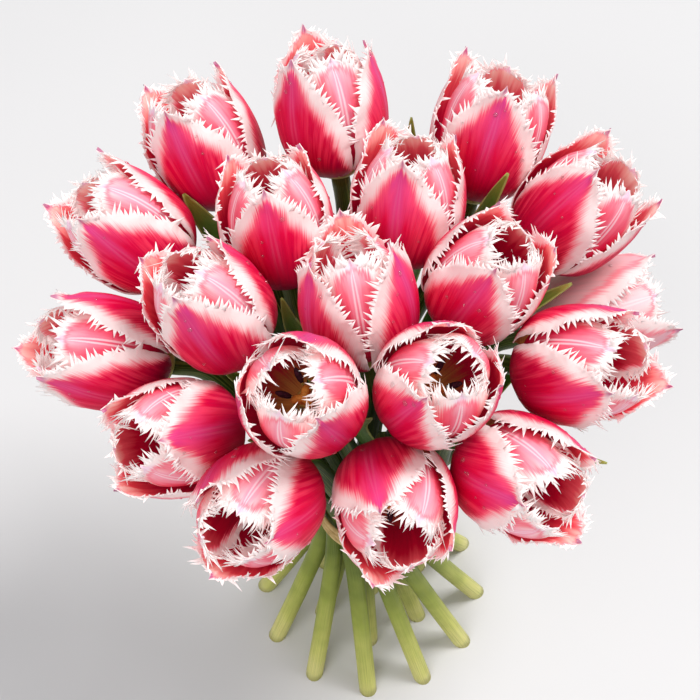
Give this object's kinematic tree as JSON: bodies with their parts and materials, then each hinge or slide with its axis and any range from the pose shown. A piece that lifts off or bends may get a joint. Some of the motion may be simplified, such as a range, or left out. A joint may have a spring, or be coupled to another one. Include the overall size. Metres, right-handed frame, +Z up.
{
  "type": "hand-tied bunch of fringed tulips",
  "caption": "Hand-tied bunch of fringed tulips with crimson cup-shaped blooms edged in white needle-like teeth, standing unheld on its splayed, cut stem ends.",
  "frame": {"origin": "on the surface that the bunch stands on, under the middle of its box", "axes": "+Z up, along the bunch from its cut stem ends to its blooms; -Y towards its front"},
  "size_m": [0.2992, 0.2392, 0.3404],
  "materials": {
    "stem": "waxy yellow-green stem with a soft sheen",
    "tepal": "satin crimson petal that pales to white at its fringed edge",
    "leaf": "grey-green leaf with a waxy bloom",
    "raffia": "dry, fibrous, straw-coloured"
  },
  "bodies": {
    "root": {"stem_01": "stem", "stem_02": "stem", "stem_03": "stem", "stem_04": "stem", "stem_05": "stem", "stem_06": "stem", "stem_07": "stem", "stem_08": "stem", "stem_09": "stem", "stem_10": "stem", "stem_11": "stem", "stem_12": "stem", "stem_13": "stem", "stem_14": "stem", "stem_15": "stem", "stem_16": "stem", "stem_17": "stem", "stem_18": "stem", "stem_19": "stem", "bloom_01": "tepal", "bloom_02": "tepal", "bloom_03": "tepal", "bloom_04": "tepal", "bloom_05": "tepal", "bloom_06": "tepal", "bloom_07": "tepal", "bloom_08": "tepal", "bloom_09": "tepal", "bloom_10": "tepal", "bloom_11": "tepal", "bloom_12": "tepal", "bloom_13": "tepal", "bloom_14": "tepal", "bloom_15": "tepal", "bloom_16": "tepal", "bloom_17": "tepal", "bloom_18": "tepal", "bloom_19": "tepal", "leaf_01": "leaf", "leaf_02": "leaf", "leaf_03": "leaf", "leaf_04": "leaf", "leaf_05": "leaf", "leaf_06": "leaf", "leaf_07": "leaf", "leaf_08": "leaf", "leaf_09": "leaf", "leaf_10": "leaf", "leaf_11": "leaf", "leaf_12": "leaf", "leaf_13": "leaf", "leaf_14": "leaf", "tie": "raffia"}
  },
  "joints": []
}
